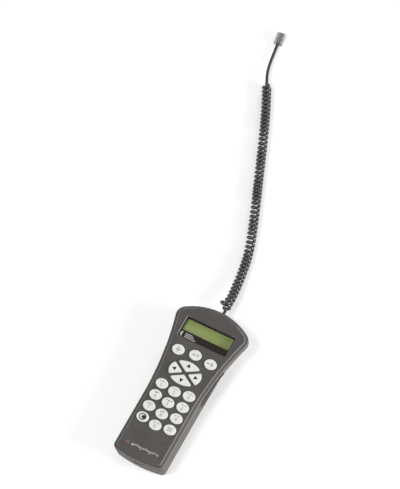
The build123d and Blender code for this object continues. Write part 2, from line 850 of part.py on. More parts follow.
# ---------------------------------------------------------------- plugs
# A plug lies in its own frame: the cord leaves along +Y from the origin, in
# the middle of its rear face, and the blades are on the +Z side.
latch_hinge_y = latch_from_nose - plug_length
latch_hinge_z = -plug_height / 2 - latch_gap - latch_thickness / 2
handset_plug_frame = Plane(
    origin=(0, plug_rear_y, plug_axis_height), x_dir=(1, 0, 0), z_dir=(0, 0, 1)
)
lead_end = Vector(*lead_route[-1])
lead_way = (Vector(*lead_route[-2]) - lead_end).normalized()
mount_plug_frame = Plane(origin=lead_end, x_dir=lead_way.cross(Vector(0, 0, -1)), z_dir=(0, 0, -1))


def shifted(frame, x, y, z):
    return Plane(
        origin=frame.from_local_coords((x, y, z)), x_dir=frame.x_dir, z_dir=frame.z_dir
    )


def make_plug(frame):
    with BuildPart() as plug:
        with BuildSketch(shifted(frame, 0, -plug_length / 2, -plug_height / 2)):
            Rectangle(plug_width, plug_length)
        extrude(amount=plug_height)
        fillet(plug.edges(), plug_edge)
        # slots that the blades sit in, at the nose
        slot_y = -plug_length + blade_length / 2
        with BuildSketch(shifted(frame, 0, slot_y, plug_height / 2 - blade_depth)):
            with Locations(*[(x, 0) for x in blade_places]):
                Rectangle(blade_width + 2 * blade_fit, blade_length)
        extrude(amount=plug_height, mode=Mode.SUBTRACT)
    return plug


def make_blades(frame):
    slot_y = -plug_length + blade_length / 2 + blade_back
    with BuildPart() as blades:
        with BuildSketch(shifted(frame, 0, slot_y, plug_height / 2 - blade_depth)):
            with Locations(*[(x, 0) for x in blade_places]):
                Rectangle(blade_width, blade_length - 2 * blade_back)
        extrude(amount=blade_depth - blade_sunk)
    return blades


def make_latch(frame):
    hinge = frame.from_local_coords((0, latch_hinge_y, latch_hinge_z))
    slope = radians(latch_slope)
    arm_way = frame.y_dir * cos(slope) - frame.z_dir * sin(slope)
    with BuildPart() as latch:
        with BuildSketch(Plane(origin=hinge, x_dir=arm_way, z_dir=frame.x_dir)):
            with Locations((latch_length / 2, 0)):
                Rectangle(latch_length, latch_thickness)
            Circle(latch_thickness / 2)
        extrude(amount=latch_width / 2, both=True)
    return latch


handset_plug = make_plug(handset_plug_frame)
handset_plug_blades = make_blades(handset_plug_frame)
handset_plug_latch = make_latch(handset_plug_frame)
mount_plug = make_plug(mount_plug_frame)
mount_plug_blades = make_blades(mount_plug_frame)
mount_plug_latch = make_latch(mount_plug_frame)

# ---------------------------------------------------------------- cord
def route_radii(route):
    radii = []
    for before, corner, after in zip(route, route[1:], route[2:]):
        first = Vector(*corner) - Vector(*before)
        second = Vector(*after) - Vector(*corner)
        shorter = min(first.length, second.length)
        half_turn = radians(first.get_angle(second) / 2)
        radii.append(run_share * shorter / tan(half_turn))
    return radii


def make_tube(name, route, diameter):
    radii = route_radii(route)
    with BuildPart() as tube:
        with BuildLine() as path:
            FilletPolyline(*route, radius=radii)
        with BuildSketch(path.line ^ 0):
            Circle(diameter / 2)
        sweep()
    length = path.wires()[0].length
    expected = length * pi * diameter ** 2 / 4
    print(name, "length", round(length, 1), "radii", [round(radius, 1) for radius in radii])
    print(name, "volume", round(tube.part.volume, 1), "section times length", round(expected, 1))
    return tube


cord_tail = make_tube("cord_tail", tail_route, wire_diameter)
cord_coil = make_tube("cord_coil", coil_route, coil_diameter)
cord_lead = make_tube("cord_lead", lead_route, wire_diameter)

# ---------------------------------------------------------------- files
pieces = {
    "front_shell": front_shell,
    "rear_shell": rear_shell,
    "left_grip": left_grip,
    "right_grip": right_grip,
    "rear_label": rear_label,
    "display_lens": display_lens,
    "lens_gasket": lens_gasket,
    "display_bezel": display_bezel,
    "display_glass": display_glass,
    "display_light_guide": display_light_guide,
    "display_contact_strips": display_contact_strips,
    "main_board": main_board,
    "controller_chip": controller_chip,
    "memory_chip": memory_chip,
    "clock_crystal": clock_crystal,
    "capacitors": capacitors,
    "key_lights": key_lights,
    "keypad_mat": keypad_mat,
    "cord_jack": cord_jack,
    "jack_contacts": jack_contacts,
    "data_port_shell": data_port_shell,
    "data_port_tongue": data_port_tongue,
    "case_screws": case_screws,
    "board_screws": board_screws,
    "handset_plug": handset_plug,
    "handset_plug_blades": handset_plug_blades,
    "handset_plug_latch": handset_plug_latch,
    "mount_plug": mount_plug,
    "mount_plug_blades": mount_plug_blades,
    "mount_plug_latch": mount_plug_latch,
    "cord_tail": cord_tail,
    "cord_coil": cord_coil,
    "cord_lead": cord_lead,
}
pieces.update(keys)
for name, piece in pieces.items():
    piece.part.label = name
    export_step(piece.part, "parts/" + name + ".step")
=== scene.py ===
import math
import bpy
from mathutils import Matrix, Vector


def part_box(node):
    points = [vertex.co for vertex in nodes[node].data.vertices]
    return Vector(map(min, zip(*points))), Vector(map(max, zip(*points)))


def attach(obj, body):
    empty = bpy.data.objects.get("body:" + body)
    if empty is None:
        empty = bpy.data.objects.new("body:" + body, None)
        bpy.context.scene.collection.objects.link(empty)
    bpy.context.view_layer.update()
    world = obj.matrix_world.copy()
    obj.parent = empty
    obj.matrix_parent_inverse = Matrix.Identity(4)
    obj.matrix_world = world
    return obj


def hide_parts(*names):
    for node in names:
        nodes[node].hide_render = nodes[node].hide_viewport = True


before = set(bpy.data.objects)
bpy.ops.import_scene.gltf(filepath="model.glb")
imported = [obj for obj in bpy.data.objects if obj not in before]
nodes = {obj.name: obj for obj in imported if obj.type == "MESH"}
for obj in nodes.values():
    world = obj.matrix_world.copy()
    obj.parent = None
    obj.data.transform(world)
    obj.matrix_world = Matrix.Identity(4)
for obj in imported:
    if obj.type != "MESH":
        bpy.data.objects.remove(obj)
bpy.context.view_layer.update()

# --------------------------------------------------------------- camera
# The case lies on its back. The view leans over its lower right corner,
# from high above, and is turned so that the case leans to the right.
view_right = Vector((0.880, 0.481, -0.086)).normalized()
view_back = Vector((0.267, -0.326, 0.907)).normalized()
view_up = view_back.cross(view_right).normalized()
view_right = view_up.cross(view_back).normalized()
view_distance = 2.6
view_height = 0.556
aim_right = 0.0215
aim_up = 0.1705
aim_back = 0.01
aim = view_right * aim_right + view_up * aim_up + view_back * aim_back
lens_data = bpy.data.cameras.new("camera")
lens_data.sensor_width = 36
lens_data.lens = lens_data.sensor_width * view_distance / view_height
lens_data.clip_end = 40
camera = bpy.data.objects.new("camera", lens_data)
bpy.context.scene.collection.objects.link(camera)
camera.matrix_world = Matrix((view_right, view_up, view_back)).transposed().to_4x4()
camera.location = aim + view_back * view_distance
bpy.context.scene.camera = camera
bpy.context.scene.view_settings.view_transform = "Standard"

# --------------------------------------------------------------- studio
# A plain pale floor, one broad soft light above, a low one at the right
# that draws a line of light along the rim, a weaker one beyond the display
# end, and an even light from all round.
floor_size = 30
floor_drop = 0.0004
light_aim = Vector((0, 0.1, 0))
bpy.ops.object.select_all(action="DESELECT")
bpy.ops.mesh.primitive_plane_add(size=floor_size, location=(0, 0, -floor_drop))
floor = bpy.context.object
floor.name = "floor"
paper = bpy.data.materials.new("floor_paper")
paper.use_nodes = True
paper_shader = paper.node_tree.nodes["Principled BSDF"]
paper_shader.inputs["Base Color"].default_value = (0.90, 0.90, 0.89, 1)
paper_shader.inputs["Roughness"].default_value = 0.85
paper_shader.inputs["Emission Color"].default_value = (1, 1, 1, 1)
paper_shader.inputs["Emission Strength"].default_value = 0.35
floor.data.materials.append(paper)


def soft_light(name, place, size, power, colour):
    data = bpy.data.lights.new(name, "AREA")
    data.shape = "DISK"
    data.size = size
    data.energy = power
    data.color = colour
    lamp = bpy.data.objects.new(name, data)
    bpy.context.scene.collection.objects.link(lamp)
    lamp.location = place
    lamp.rotation_euler = (light_aim - Vector(place)).to_track_quat("-Z", "Y").to_euler()


soft_light("key_light", place=(-0.7, -0.75, 1.9), size=1.1, power=20, colour=(1.0, 0.99, 0.97))
soft_light("rim_light", place=(1.9, 0.30, 0.62), size=0.8, power=34, colour=(1.0, 0.98, 0.97))
soft_light("top_fill", place=(-0.2, 1.9, 0.9), size=1.0, power=8, colour=(1.0, 1.0, 1.0))
world = bpy.data.worlds.new("studio")
world.use_nodes = True
world.node_tree.nodes["Background"].inputs["Color"].default_value = (0.95, 0.96, 1.0, 1)
world.node_tree.nodes["Background"].inputs["Strength"].default_value = 0.24
bpy.context.scene.world = world

# --------------------------------------------------------------- main board
# Green glass-fibre laminate, with copper tracks under its solder mask. The
# parts soldered to its underside are a controller, a memory, a crystal and
# three capacitors, and red lights stand between the keys on its top.


class Wire:
    """A shader socket that can be used in sums."""

    def __init__(self, tree, socket):
        self.tree = tree
        self.socket = socket

    def _math(self, operation, *values):
        node = self.tree.nodes.new("ShaderNodeMath")
        node.operation = operation
        for index, value in enumerate(values):
            if isinstance(value, Wire):
                self.tree.links.new(value.socket, node.inputs[index])
            else:
                node.inputs[index].default_value = value
        return Wire(self.tree, node.outputs[0])

    def __add__(self, other):
        return self._math("ADD", self, other)

    def __radd__(self, other):
        return self._math("ADD", other, self)

    def __sub__(self, other):
        return self._math("SUBTRACT", self, other)

    def __rsub__(self, other):
        return self._math("SUBTRACT", other, self)

    def __mul__(self, other):
        return self._math("MULTIPLY", self, other)

    def __rmul__(self, other):
        return self._math("MULTIPLY", other, self)

    def __pow__(self, other):
        return self._math("POWER", self, other)

    def __gt__(self, other):
        return self._math("GREATER_THAN", self, other)

    def __lt__(self, other):
        return self._math("LESS_THAN", self, other)

    def __mod__(self, other):
        return self._math("FLOORED_MODULO", self, other)

    def __abs__(self):
        return self._math("ABSOLUTE", self)

    def step(self, low, high):
        """0 below low, 1 above high, smooth between."""
        node = self.tree.nodes.new("ShaderNodeMapRange")
        node.interpolation_type = "SMOOTHSTEP"
        self.tree.links.new(self.socket, node.inputs["Value"])
        node.inputs["From Min"].default_value = low
        node.inputs["From Max"].default_value = high
        return Wire(self.tree, node.outputs[0])

    def band(self, low, high, soft):
        """1 between low and high, with soft ends."""
        return self.step(low - soft, low) * (1 - self.step(high, high + soft))


class Finish:
    """A material whose nodes are added by plain calls."""

    def __init__(self, name, colour, roughness, **settings):
        self.material = bpy.data.materials.new(name)
        self.material.use_nodes = True
        self.tree = self.material.node_tree
        self.shader = self.tree.nodes["Principled BSDF"]
        self.set(self.shader, "Base Color", (*colour, 1))
        self.set(self.shader, "Roughness", roughness)
        for socket, value in settings.items():
            self.set(self.shader, socket.replace("_", " "), value)
        place = self.node("ShaderNodeTexCoord")
        self.place = Wire(self.tree, place.outputs["Object"])
        axes = self.node("ShaderNodeSeparateXYZ", Vector=self.place)
        self.x, self.y, self.z = (Wire(self.tree, axes.outputs[axis]) for axis in "XYZ")

    def set(self, node, socket, value):
        if isinstance(value, Wire):
            self.tree.links.new(value.socket, node.inputs[socket])
        else:
            node.inputs[socket].default_value = value

    def node(self, kind, settings=None, **sockets):
        node = self.tree.nodes.new(kind)
        for setting, value in (settings or {}).items():
            setattr(node, setting, value)
        for socket, value in sockets.items():
            self.set(node, socket.replace("_", " "), value)
        return node

    def noise(self, scale, detail=2.0, stretch=(1, 1, 1)):
        mapping = self.node("ShaderNodeMapping", Vector=self.place, Scale=stretch)
        place = Wire(self.tree, mapping.outputs[0])
        node = self.node("ShaderNodeTexNoise", Scale=scale, Detail=detail, Vector=place)
        return Wire(self.tree, node.outputs["Fac"])

    def blend(self, factor, low, high):
        node = self.node("ShaderNodeMix", {"data_type": "RGBA"})
        self.set(node, 0, factor)
        self.set(node, 6, low if isinstance(low, Wire) else (*low, 1))
        self.set(node, 7, high if isinstance(high, Wire) else (*high, 1))
        return Wire(self.tree, node.outputs[2])

    def colour(self, value):
        self.set(self.shader, "Base Color", value)

    def rough(self, value):
        self.set(self.shader, "Roughness", value)

    def metal(self, value):
        self.set(self.shader, "Metallic", value)

    def bump(self, height, distance, strength=1.0):
        node = self.node("ShaderNodeBump", Height=height, Distance=distance, Strength=strength)
        self.set(self.shader, "Normal", Wire(self.tree, node.outputs[0]))

    def paint(self, *names):
        for name in names:
            data = nodes[name].data
            data.materials.clear()
            data.materials.append(self.material)


mask_green = (0.010, 0.085, 0.035)
track_green = (0.022, 0.15, 0.06)
track_pitch = 0.0019
track_edges = (0.0004, 0.0009)
track_wander = 0.004
track_soft = 0.0001
board_finish = Finish("board_laminate", mask_green, 0.28)
wander = board_finish.noise(45, 1) * track_wander
tracks = ((board_finish.x + wander) % track_pitch).band(*track_edges, track_soft)
etched = tracks * board_finish.noise(160, 0).step(0.48, 0.52)
board_finish.colour(board_finish.blend(etched, mask_green, track_green))
board_finish.bump(etched, 0.00003, 0.6)
board_finish.paint("main_board")

package_black = (0.02, 0.02, 0.022)
package_mark = (0.10, 0.10, 0.10)
lead_tin = (0.72, 0.72, 0.70)
chip_half = 0.007
mark_inset = 0.005
mark_radius_squared = 0.0000004
chip_low, chip_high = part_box("controller_chip")
chip_y = (chip_low[1] + chip_high[1]) / 2
chip_finish = Finish("chip_package", package_black, 0.55)
leads = 1 - (abs(chip_finish.x) < chip_half) * (abs(chip_finish.y - chip_y) < chip_half)
from_mark = (chip_finish.x - mark_inset) ** 2 + (chip_finish.y - chip_y - mark_inset) ** 2
speckle = chip_finish.noise(5000, 1)
package = chip_finish.blend(from_mark < mark_radius_squared, package_black, package_mark)
chip_finish.colour(chip_finish.blend(leads, package, lead_tin))
chip_finish.metal(leads)
chip_finish.rough(0.5 - leads * 0.2 + speckle * 0.1)
chip_finish.bump(speckle, 0.00002, 0.5)
chip_finish.paint("controller_chip")

memory_finish = Finish("memory_package", package_black, 0.55)
memory_grain = memory_finish.noise(5000, 1)
memory_finish.rough(0.48 + memory_grain * 0.14)
memory_finish.bump(memory_grain, 0.00002, 0.5)
memory_finish.paint("memory_chip")

crystal_finish = Finish("crystal_can", (0.66, 0.66, 0.64), 0.3, Metallic=1.0)
crystal_lines = crystal_finish.noise(900, 2, (8, 1, 1))
crystal_finish.rough(0.22 + crystal_lines * 0.2)
crystal_finish.bump(crystal_lines, 0.00001, 0.4)
crystal_finish.paint("clock_crystal")

can_low, can_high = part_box("capacitors")
can_x = (can_low[0] + can_high[0]) / 2
can_rim = 0.0002
stripe_offset = 0.0015
sleeve = (0.012, 0.014, 0.03)
sleeve_stripe = (0.55, 0.56, 0.58)
can_metal = (0.75, 0.75, 0.76)
can_finish = Finish("capacitor_can", sleeve, 0.35)
can_top = can_finish.z < can_low[2] + can_rim
stripe = can_finish.x > can_x + stripe_offset
sleeved = can_finish.blend(stripe, sleeve, sleeve_stripe)
can_finish.colour(can_finish.blend(can_top, sleeved, can_metal))
can_finish.metal(can_top)
can_finish.rough(0.3 + can_finish.noise(300) * 0.15)
can_finish.paint("capacitors")

lights_finish = Finish("light_package", (0.72, 0.10, 0.07), 0.25)
lights_cloud = lights_finish.noise(900)
lights_finish.colour(lights_finish.blend(lights_cloud, (0.62, 0.07, 0.05), (0.85, 0.25, 0.2)))
lights_finish.rough(0.2 + lights_cloud * 0.1)
lights_finish.paint("key_lights")

# --------------------------------------------------------------- display
# A two-line reflective cell, lit from its edge through a clear guide. Rubber
# strips join it to the board, and a black steel bezel with bent sides holds
# it down. Foam seals it against the window.
guide_clear = (0.82, 0.83, 0.80)
guide_white = (0.95, 0.95, 0.93)
guide_pitch = 0.0012
guide_dot_squared = 0.0000001
guide_finish = Finish("light_guide", guide_clear, 0.2, IOR=1.49)
from_dot_x = (guide_finish.x % guide_pitch) - guide_pitch / 2
from_dot_y = (guide_finish.y % guide_pitch) - guide_pitch / 2
guide_dots = (from_dot_x ** 2 + from_dot_y ** 2) < guide_dot_squared
guide_finish.rough(0.15 + guide_dots * 0.5)
guide_finish.colour(guide_finish.blend(guide_dots, guide_clear, guide_white))
guide_finish.paint("display_light_guide")

strip_black = (0.03, 0.03, 0.032)
strip_silver = (0.35, 0.36, 0.38)
layer_pitch = 0.0004
strip_finish = Finish("strip_rubber", strip_black, 0.6)
layers = (strip_finish.x % layer_pitch) < layer_pitch / 2
strip_finish.colour(strip_finish.blend(layers, strip_black, strip_silver))
strip_finish.bump(strip_finish.noise(1500), 0.00002, 0.5)
strip_finish.paint("display_contact_strips")

glass_low, glass_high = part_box("display_glass")
view_y = (glass_low[1] + glass_high[1]) / 2
columns = 16
rows = 2
cell_width = 0.00365
cell_height = 0.0071
cell_dot = 0.00062
dot_gap = 0.00007
block_x = (0.0003, 0.0033)
block_y = (0.0011, 0.0061)
block_soft = 0.00005
frame_soft = 0.0002
lit_edge_span = (-0.0077, -0.0052)
cell_green = (0.415, 0.505, 0.185)
cell_shade = (0.355, 0.445, 0.150)
cell_lit_green = (0.500, 0.565, 0.280)
display_finish = Finish("display_cell", cell_green, 0.22, Specular_IOR_Level=0.4)
from_middle = display_finish.y - view_y
across = (display_finish.x + columns * cell_width) % cell_width
along = (from_middle + 2 * rows * cell_height) % cell_height
inside = abs(display_finish.x).band(-1, columns / 2 * cell_width, frame_soft)
inside = inside * abs(from_middle).band(-1, rows / 2 * cell_height, frame_soft)
block = across.band(*block_x, block_soft) * along.band(*block_y, block_soft)
dots = (across % cell_dot > dot_gap) * (along % cell_dot > dot_gap)
cloud = display_finish.noise(60, 2)
ghost = inside * block * (0.30 + dots * 0.35) + cloud * 0.2
# the cell is painted paler towards its lower edge: a painted pool of light
painted_light_edge = 1 - from_middle.step(*lit_edge_span)
cell = display_finish.blend(ghost, cell_green, cell_shade)
display_finish.colour(display_finish.blend(painted_light_edge * 0.8, cell, cell_lit_green))
display_finish.rough(0.2 + cloud * 0.1)
display_finish.paint("display_glass")

bezel_finish = Finish("bezel_steel", (0.012, 0.013, 0.012), 0.35)
bezel_paint = bezel_finish.noise(1200, 3)
bezel_finish.rough(0.3 + bezel_paint * 0.15)
bezel_finish.bump(bezel_paint, 0.00002, 0.4)
bezel_finish.paint("display_bezel")

foam_finish = Finish("gasket_foam", (0.012, 0.012, 0.012), 0.95)
pores = foam_finish.node("ShaderNodeTexVoronoi", Scale=2600.0, Vector=foam_finish.place)
pores = Wire(foam_finish.tree, pores.outputs["Distance"])
foam_finish.colour(foam_finish.blend(pores, (0.006, 0.006, 0.006), (0.03, 0.03, 0.03)))
foam_finish.bump(pores, 0.00015, 0.8)
foam_finish.paint("lens_gasket")

# --------------------------------------------------------------- window
# Clear acrylic, printed black on its back outside the view of the display,
# and bonded in its frame. A moon and three bars are printed in its lower left.
lens_low, lens_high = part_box("display_lens")
view_half_x = 0.0302
view_half_y = 0.0079
view_soft = 0.0001
view_clearness = 0.94
lens_finish = Finish("lens_acrylic", (0.010, 0.009, 0.009), 0.1, IOR=1.45)
clear = abs(lens_finish.x).band(-1, view_half_x, view_soft)
clear = clear * abs(lens_finish.y - view_y).band(-1, view_half_y, view_soft)
smear = lens_finish.noise(26, 3)
hairline = lens_finish.noise(420, 2, (0.15, 3, 1)).step(0.68, 0.8)
lens_finish.rough(0.09 + smear.step(0.45, 0.8) * 0.1 + hairline * 0.15)
lens_finish.set(lens_finish.shader, "Alpha", 1 - clear * view_clearness)
lens_finish.colour(lens_finish.blend(smear, (0.019, 0.014, 0.013), (0.034, 0.024, 0.022)))
lens_finish.paint("display_lens")

ink_depth = 0.00006
# shares of a printed shape's own width
ring_width = 0.13
moon_hollow = -0.2
star_waist = 0.4
figure_share = 0.7        # a figure's height as a share of its type's size


def start_clean():
    bpy.ops.object.select_all(action="DESELECT")


def settle(piece):
    """Puts a piece's turn, size and place into its mesh."""
    start_clean()
    piece.select_set(True)
    bpy.context.view_layer.objects.active = piece
    bpy.ops.object.transform_apply(location=True, rotation=True, scale=True)
    return piece


def ink(kind, x, y, width, height, turn=0.0):
    """One flat printed shape, in metres from the middle of its print."""
    start_clean()
    corners = {"disc": 24, "ring": 24, "moon": 24, "star": 8, "diamond": 4, "triangle": 3}
    if kind == "bar":
        bpy.ops.mesh.primitive_plane_add(size=1)
    else:
        bpy.ops.mesh.primitive_circle_add(vertices=corners[kind], radius=0.5, fill_type="NGON")
    shape = bpy.context.object
    bpy.ops.object.mode_set(mode="EDIT")
    if kind == "ring":
        bpy.ops.mesh.inset(thickness=ring_width)
        bpy.ops.mesh.delete(type="FACE")
    if kind in ("moon", "star"):
        bpy.ops.mesh.select_all(action="DESELECT")
        bpy.ops.mesh.select_mode(type="VERT")
        bpy.ops.object.mode_set(mode="OBJECT")
        for index, vertex in enumerate(shape.data.vertices):
            vertex.select = vertex.co.x > 0.01 if kind == "moon" else index % 2 == 1
        bpy.ops.object.mode_set(mode="EDIT")
        squeeze = (moon_hollow, 1, 1) if kind == "moon" else (star_waist, star_waist, 1)
        bpy.ops.transform.resize(value=squeeze, center_override=(0, 0, 0))
    bpy.ops.object.mode_set(mode="OBJECT")
    shape.scale = (width, height, 1)
    shape.rotation_euler = (0, 0, math.radians(turn))
    shape.location = (x, y, 0)
    return settle(shape)


def digit(character, x, y, height):
    """A printed number, in metres from the middle of its print."""
    start_clean()
    bpy.ops.object.text_add()
    letter = bpy.context.object
    letter.data.body = character
    letter.data.size = height / figure_share
    letter.data.align_x = "CENTER"
    letter.data.align_y = "CENTER"
    letter.data.resolution_u = 3
    bpy.ops.object.convert(target="MESH")
    letter = bpy.context.object
    letter.location = (x, y, 0)
    return settle(letter)


def print_on(name, shapes, place, finish, body):
    """Joins printed shapes into one thin layer of ink at its place."""
    start_clean()
    for shape in shapes:
        shape.select_set(True)
    layer = shapes[0]
    bpy.context.view_layer.objects.active = layer
    bpy.ops.object.join()
    layer.name = name
    thickness = layer.modifiers.new("thickness", "SOLIDIFY")
    thickness.thickness = ink_depth
    thickness.offset = 0
    bpy.ops.object.modifier_apply(modifier=thickness.name)
    bpy.ops.object.mode_set(mode="EDIT")
    bpy.ops.mesh.select_all(action="SELECT")
    bpy.ops.mesh.remove_doubles(threshold=0.000002)
    bpy.ops.mesh.normals_make_consistent(inside=False)
    bpy.ops.object.mode_set(mode="OBJECT")
    layer.location = place
    settle(layer)
    layer.data.materials.clear()
    layer.data.materials.append(finish.material)
    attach(layer, body)


silver_ink = Finish("silver_ink", (0.50, 0.51, 0.50), 0.4)
silver_grain = silver_ink.noise(3000, 2)
silver_ink.colour(silver_ink.blend(silver_grain, (0.42, 0.42, 0.41), (0.60, 0.60, 0.58)))
silver_ink.rough(0.35 + silver_grain * 0.15)
moon_bars = [ink("bar", 0.0008, 0.0021, 0.0094, 0.0010), ink("bar", 0.0018, 0.0, 0.0114, 0.0010),
             ink("bar", 0.0034, -0.0021, 0.0146, 0.0010)]
moon = ink("moon", -0.0066, 0.0002, 0.0064, 0.0062)
window_print_x = -0.0195
window_print_drop = 0.0128
print_on("window_print", [moon, *moon_bars], (window_print_x, view_y - window_print_drop, lens_high[2]),
         silver_ink, "case")

# --------------------------------------------------------------- keypad
# One silicone mat on the board carries the keys. Each key is moulded in a
# milky silicone that lets the red light through, with its figure or sign
# printed in grey or black, and it travels in its own hole in the face.
mat_finish = Finish("mat_silicone", (0.42, 0.43, 0.41), 0.5)
mat_cloud = mat_finish.noise(120, 3)
mat_finish.colour(mat_finish.blend(mat_cloud, (0.36, 0.37, 0.35), (0.48, 0.49, 0.47)))
mat_finish.rough(0.45 + mat_cloud * 0.15)
mat_finish.bump(mat_finish.noise(2400), 0.00003, 0.5)
mat_finish.paint("keypad_mat")

key_names = [name for name in nodes if name.startswith("key_") and name != "key_lights"]
face_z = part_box("front_shell")[1][2]
key_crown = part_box("key_5")[1][2]
key_white = (0.86, 0.865, 0.82)
key_finish = Finish("key_silicone", key_white, 0.42, Specular_IOR_Level=0.4)
key_cloud = key_finish.noise(70, 3)
key_grain = key_finish.noise(4200, 2)
shaded = key_finish.blend(key_cloud, key_white, (0.90, 0.90, 0.87))
# the lower part of each key, down in its hole below the face, is painted darker: painted shade
shaded_skirt = 1 - key_finish.z.step(face_z - 0.0004, face_z + 0.0006)
key_finish.colour(key_finish.blend(shaded_skirt * 0.5, shaded, (0.42, 0.41, 0.37)))
key_finish.rough(0.38 + key_cloud * 0.1 + key_grain * 0.06)
key_finish.bump(key_grain, 0.00003, 0.5)
key_finish.paint(*key_names)

grey_ink = Finish("grey_ink", (0.30, 0.30, 0.29), 0.5)
grey_grain = grey_ink.noise(3500, 2)
grey_ink.colour(grey_ink.blend(grey_grain, (0.26, 0.26, 0.25), (0.40, 0.40, 0.38)))
grey_ink.rough(0.45 + grey_grain * 0.15)
black_ink = Finish("black_ink", (0.012, 0.012, 0.012), 0.45)
black_grain = black_ink.noise(3500, 2)
black_ink.colour(black_ink.blend(black_grain, (0.008, 0.008, 0.008), (0.03, 0.03, 0.03)))
black_ink.rough(0.4 + black_grain * 0.15)

figure_height = 0.0042
figure_drop = 0.0018
sign_rise = 0.0027
# kind, place across the key, width, height and turn of each sign over a figure
key_signs = {
    "key_1": [("star", 0.0, 0.0030, 0.0030, 0), ("bar", -0.0028, 0.0018, 0.0007, 0),
              ("bar", 0.0028, 0.0018, 0.0007, 0)],
    "key_2": [("ring", -0.0021, 0.0023, 0.0023, 0), ("bar", 0.0015, 0.0036, 0.0008, 0)],
    "key_3": [("moon", -0.0022, 0.0022, 0.0024, 0), ("bar", 0.0013, 0.0040, 0.0008, 0)],
    "key_4": [("diamond", 0.0, 0.0022, 0.0024, 0), ("bar", 0.0, 0.0054, 0.0007, 0)],
    "key_5": [("disc", -0.0028, 0.0017, 0.0017, 0), ("disc", 0.0, 0.0021, 0.0021, 0),
              ("disc", 0.0028, 0.0017, 0.0017, 0)],
    "key_6": [("triangle", -0.0012, 0.0030, 0.0024, 0), ("bar", 0.0024, 0.0026, 0.0008, 0)],
    "key_7": [("bar", -0.0021, 0.0028, 0.0008, 45), ("bar", 0.0, 0.0028, 0.0008, 45),
              ("bar", 0.0021, 0.0028, 0.0008, 45)],
    "key_8": [("ring", 0.0, 0.0024, 0.0024, 0), ("bar", 0.0, 0.0058, 0.0007, 18)],
    "key_9": [("triangle", 0.0012, 0.0030, 0.0024, 180), ("bar", -0.0024, 0.0026, 0.0008, 0)],
    "key_0": [("bar", -0.0021, 0.0030, 0.0009, 0), ("bar", 0.0021, 0.0030, 0.0009, 0)],
}


def middle_of(name):
    low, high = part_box(name)
    return (low[0] + high[0]) / 2, (low[1] + high[1]) / 2


def print_key(name, shapes, finish):
    x, y = middle_of(name)
    print_on(name + "_print", shapes, (x, y, key_crown), finish, name)


for name, signs in key_signs.items():
    shapes = [digit(name[-1], 0, -figure_drop, figure_height)]
    shapes += [ink(kind, x, sign_rise, width, height, turn) for kind, x, width, height, turn in signs]
    print_key(name, shapes, grey_ink)

# kind, place, width, height and turn of each sign on the keys under the display
top_signs = {
    "key_top_left": [("ring", 0, 0, 0.0040, 0.0040, 0), ("bar", 0, 0, 0.0072, 0.0005, 0),
                     ("bar", 0, 0, 0.0072, 0.0005, 90)],
    "key_top_middle": [("bar", 0.0009, -0.0002, 0.0056, 0.0009, 0),
                       ("bar", 0.0033, 0.0011, 0.0009, 0.0030, 0),
                       ("triangle", -0.0026, -0.0002, 0.0032, 0.0030, 90)],
    "key_top_right": [("moon", 0.0008, 0, 0.0044, 0.0046, 180), ("bar", -0.0016, 0, 0.0036, 0.0009, 0),
                      ("triangle", -0.0036, 0, 0.0026, 0.0024, 90)],
}
for name, signs in top_signs.items():
    print_key(name, [ink(*sign) for sign in signs], grey_ink)

# the info key carries four ruled lines, every second one shorter
rule_pitch = 0.0014
rule_short = 0.0012
rules = [ink("bar", -0.0004, 0.0021 - index * rule_pitch, 0.0064 - rule_short * (index % 2), 0.0006)
         for index in range(4)]
print_key("key_info", rules, grey_ink)
ring_and_dot = [ink("ring", 0, 0, 0.0088, 0.0084), ink("disc", 0.0011, 0, 0.0044, 0.0046)]
print_key("key_ring", ring_and_dot, black_ink)

# the four arrows stand round the middle of the pad that the keys make
pad_y = (middle_of("key_up")[1] + middle_of("key_down")[1]) / 2
arrow_out_x = 0.0135
arrow_out_y = 0.0092
arrow_width = 0.0056
arrow_length = 0.0062
arrows = {
    "key_up": (0, arrow_out_y, 0), "key_left": (-arrow_out_x, 0, 90),
    "key_down": (0, -arrow_out_y, 180), "key_right": (arrow_out_x, 0, 270),
}
for name, (out_x, out_y, turn) in arrows.items():
    x, y = middle_of(name)
    arrow = ink("triangle", out_x - x, pad_y + out_y - y, arrow_width, arrow_length, turn)
    print_key(name, [arrow], black_ink)

# --------------------------------------------------------------- sockets
# The cord's six-way socket is black nylon with gold-plated contacts. The
# data port at the other end is a folded, tinned steel shell round a tongue.
nylon_finish = Finish("socket_plastic", (0.014, 0.014, 0.015), 0.38)
nylon_grain = nylon_finish.noise(1800, 2)
nylon_finish.rough(0.32 + nylon_grain * 0.14)
nylon_finish.bump(nylon_grain, 0.00002, 0.5)
nylon_finish.paint("cord_jack", "data_port_tongue")

gold_finish = Finish("gold_contact", (0.83, 0.60, 0.25), 0.25, Metallic=1.0)
gold_wear = gold_finish.noise(1500, 3)
gold_finish.colour(gold_finish.blend(gold_wear, (0.86, 0.63, 0.27), (0.70, 0.52, 0.26)))
gold_finish.rough(0.18 + gold_wear * 0.2)
gold_finish.paint("jack_contacts", "handset_plug_blades", "mount_plug_blades")

port_finish = Finish("port_steel", (0.62, 0.62, 0.60), 0.3, Metallic=1.0)
port_grain = port_finish.noise(500, 3, (1, 5, 1))
port_finish.colour(port_finish.blend(port_grain, (0.66, 0.66, 0.64), (0.48, 0.48, 0.47)))
port_finish.rough(0.24 + port_grain * 0.22)
port_finish.bump(port_grain, 0.00001, 0.4)
port_finish.paint("data_port_shell")
